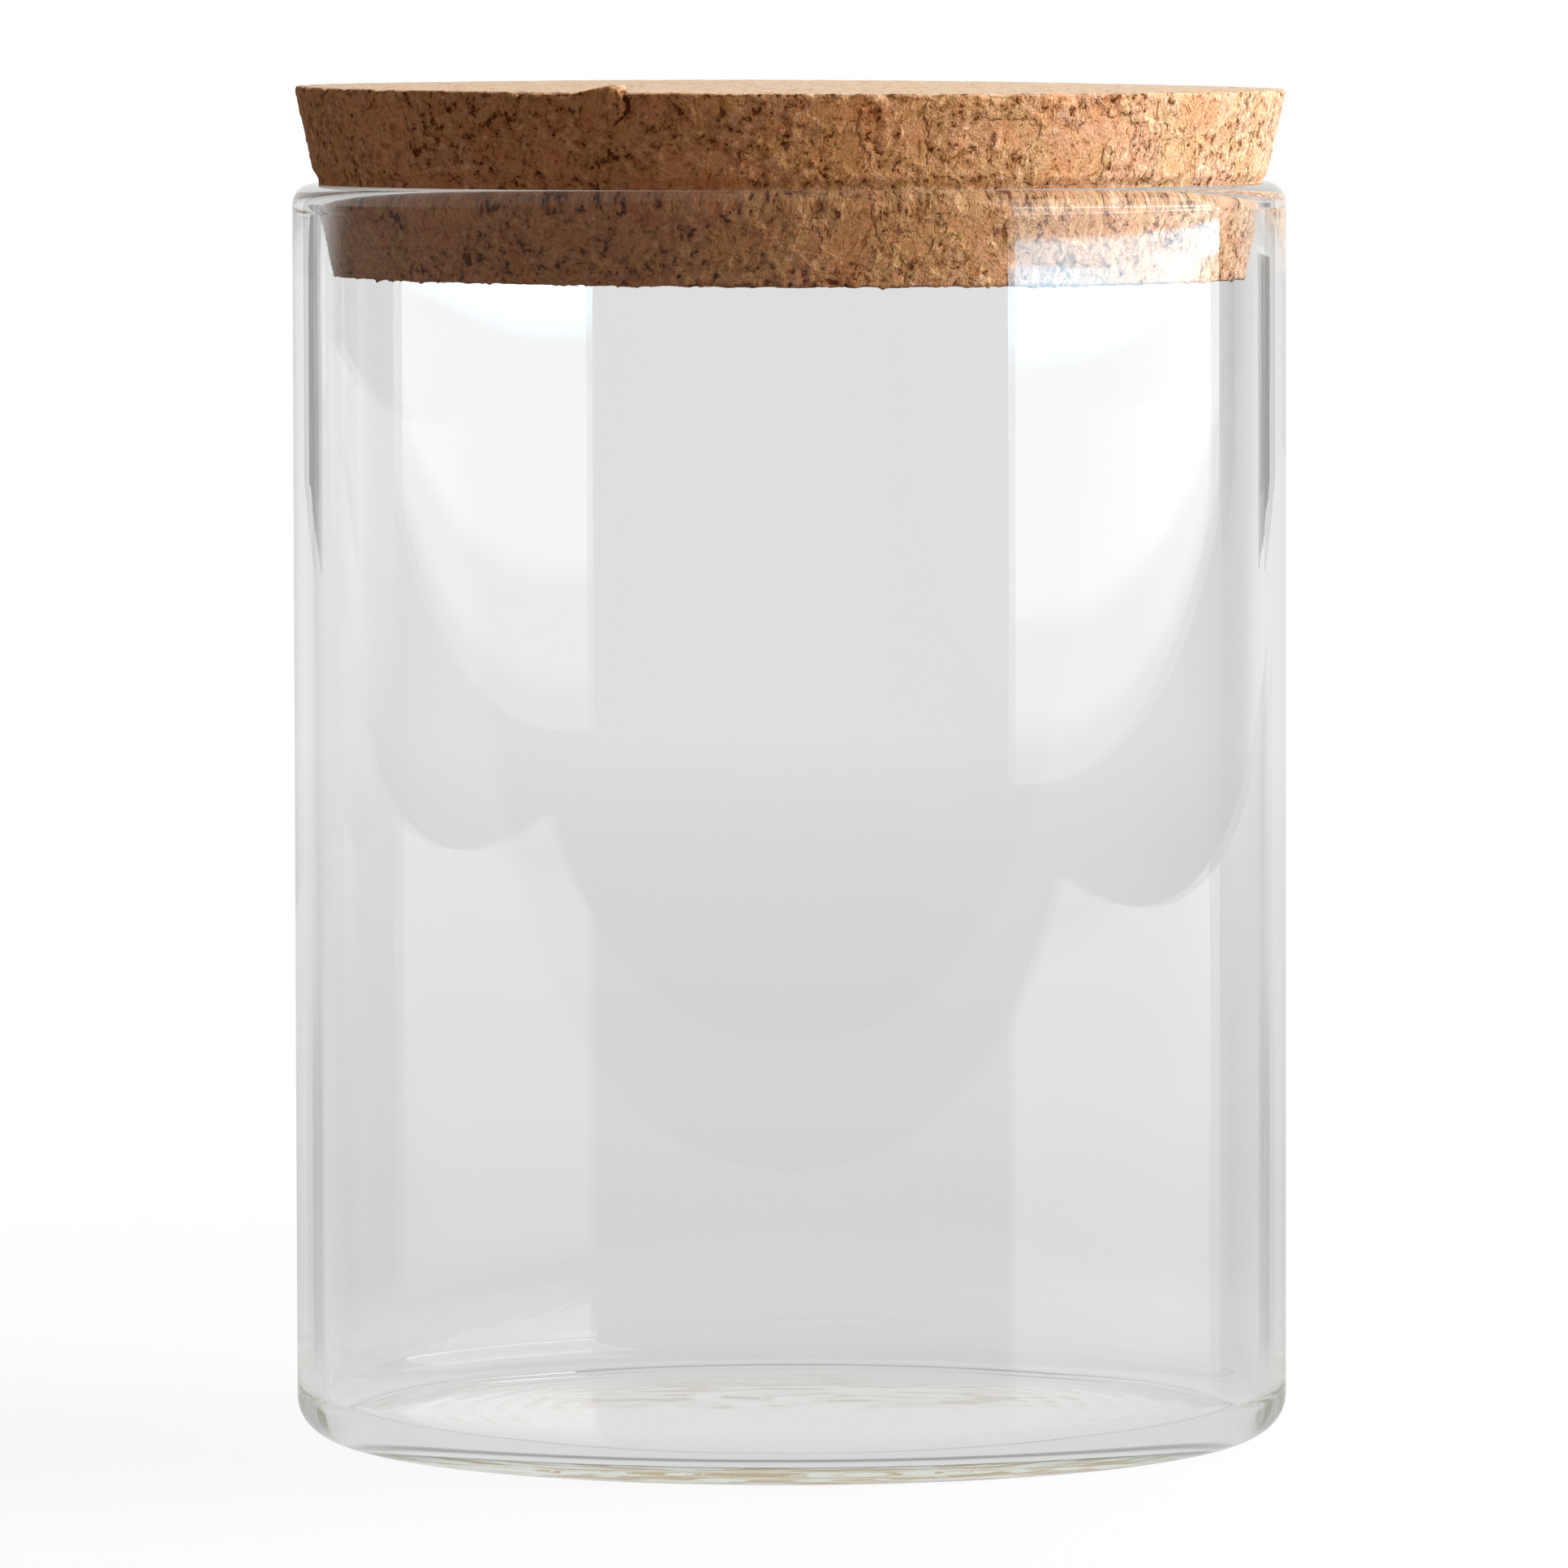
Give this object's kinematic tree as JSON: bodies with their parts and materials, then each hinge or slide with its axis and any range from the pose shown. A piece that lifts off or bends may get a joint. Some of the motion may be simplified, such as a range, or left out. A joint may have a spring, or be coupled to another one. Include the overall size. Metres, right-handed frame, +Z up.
{
  "type": "glass jar with cork lid",
  "caption": "Straight-sided clear glass storage jar with a rounded base and a fire-polished lip, closed by a thick tapered cork stopper that lifts out.",
  "frame": {"origin": "centre of the ring that the jar stands on", "axes": "+Z up the jar's axis; the jar and its stopper are round, so X and Y are free"},
  "size_m": [0.1, 0.1, 0.1367],
  "materials": {
    "clear_glass": "clear, fire polished, very slightly green in the thick base",
    "granulated_cork": "dry, matt, pressed granules with open pits"
  },
  "bodies": {
    "jar": {"glass_jar": "clear_glass"},
    "lid": {"cork_lid": "granulated_cork"}
  },
  "joints": [
    {"name": "lid_lift", "type": "slide", "parent": "jar", "child": "lid", "axis": [0, 0, 1], "range_m": [0, 0.04]}
  ]
}
